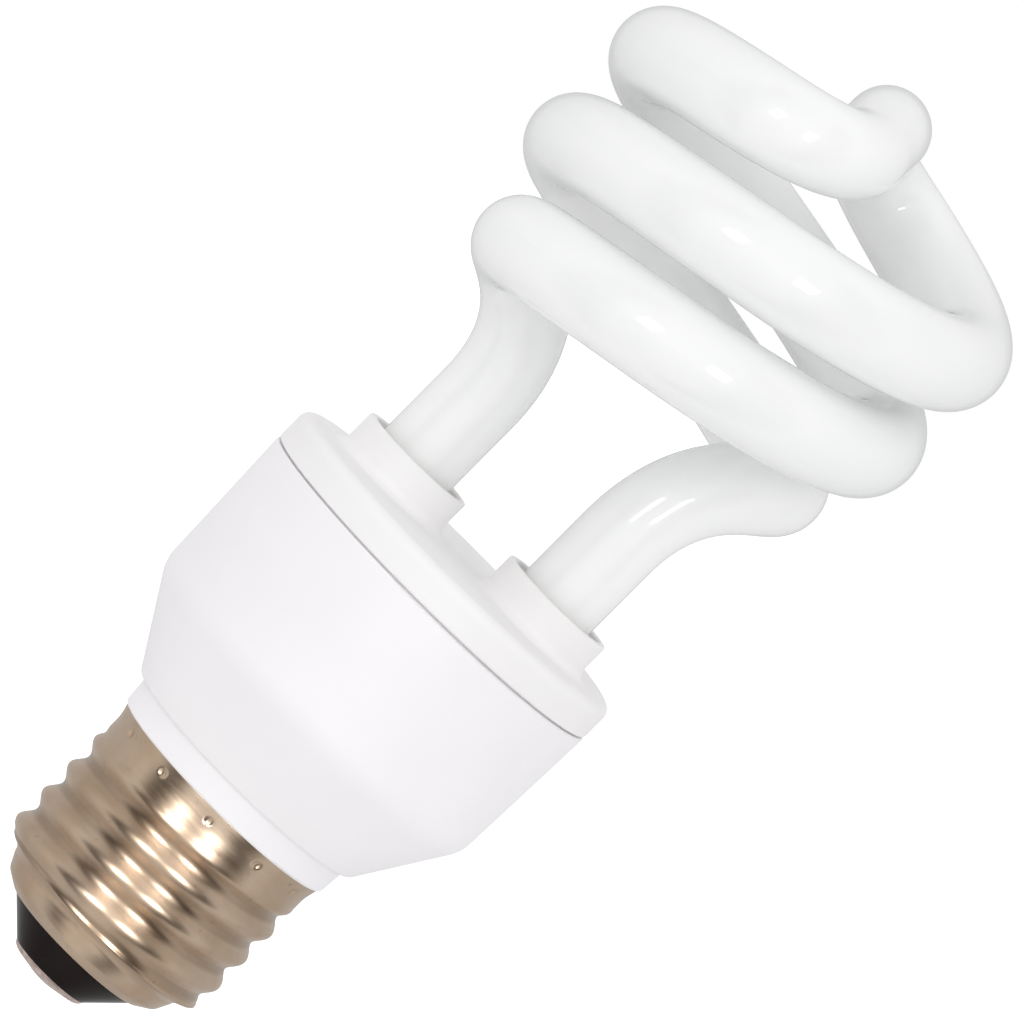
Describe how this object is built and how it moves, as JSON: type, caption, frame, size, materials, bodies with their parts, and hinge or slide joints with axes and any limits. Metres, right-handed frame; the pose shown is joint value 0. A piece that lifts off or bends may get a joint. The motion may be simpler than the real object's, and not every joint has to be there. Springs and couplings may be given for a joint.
{
  "type": "compact fluorescent bulb",
  "caption": "Spiral compact fluorescent bulb: a white glass double helix standing in a white ballast housing on a metal screw base.",
  "frame": {"origin": "on the screw's axis, at the tip of the centre contact", "axes": "+Z along the axis from the contact to the tube, +X through the middle of one leg of the tube"},
  "size_m": [0.0512, 0.0512, 0.122],
  "materials": {
    "coated_glass": "gloss",
    "housing_plastic": "satin",
    "lid_plastic": "satin",
    "nickel_plate": "bright rolled",
    "black_glass": "gloss",
    "contact_metal": "dull",
    "cement": "matt",
    "board": "matt",
    "can_sleeve": "gloss",
    "ferrite": "matt",
    "bobbin_plastic": "matt",
    "enamelled_copper": "gloss",
    "epoxy": "matt",
    "film_coating": "gloss",
    "disc_coating": "gloss",
    "resistor_coating": "satin",
    "trigger_glass": "gloss",
    "tinned_wire": "bright",
    "wire_insulation": "satin"
  },
  "bodies": {
    "root": {"spiral_tube": "coated_glass", "tube_cement": "cement", "top_cover": "lid_plastic", "ballast_housing": "housing_plastic", "screw_shell": "nickel_plate", "base_insulator": "black_glass", "centre_contact": "contact_metal", "circuit_board": "board", "smoothing_capacitor": "can_sleeve", "choke_core": "ferrite", "choke_bobbin": "bobbin_plastic", "choke_winding": "enamelled_copper", "feedback_core": "ferrite", "feedback_windings": "enamelled_copper", "upper_transistor": "epoxy", "lower_transistor": "epoxy", "coupling_capacitor": "film_coating", "starting_capacitor": "film_coating", "snubber_capacitor": "disc_coating", "rectifier_diodes": "epoxy", "base_resistors": "resistor_coating", "trigger_diode": "trigger_glass", "fusible_resistor": "resistor_coating", "wire_pins": "tinned_wire", "tube_leads": "tinned_wire", "contact_lead": "wire_insulation", "shell_lead": "tinned_wire"}
  },
  "joints": []
}
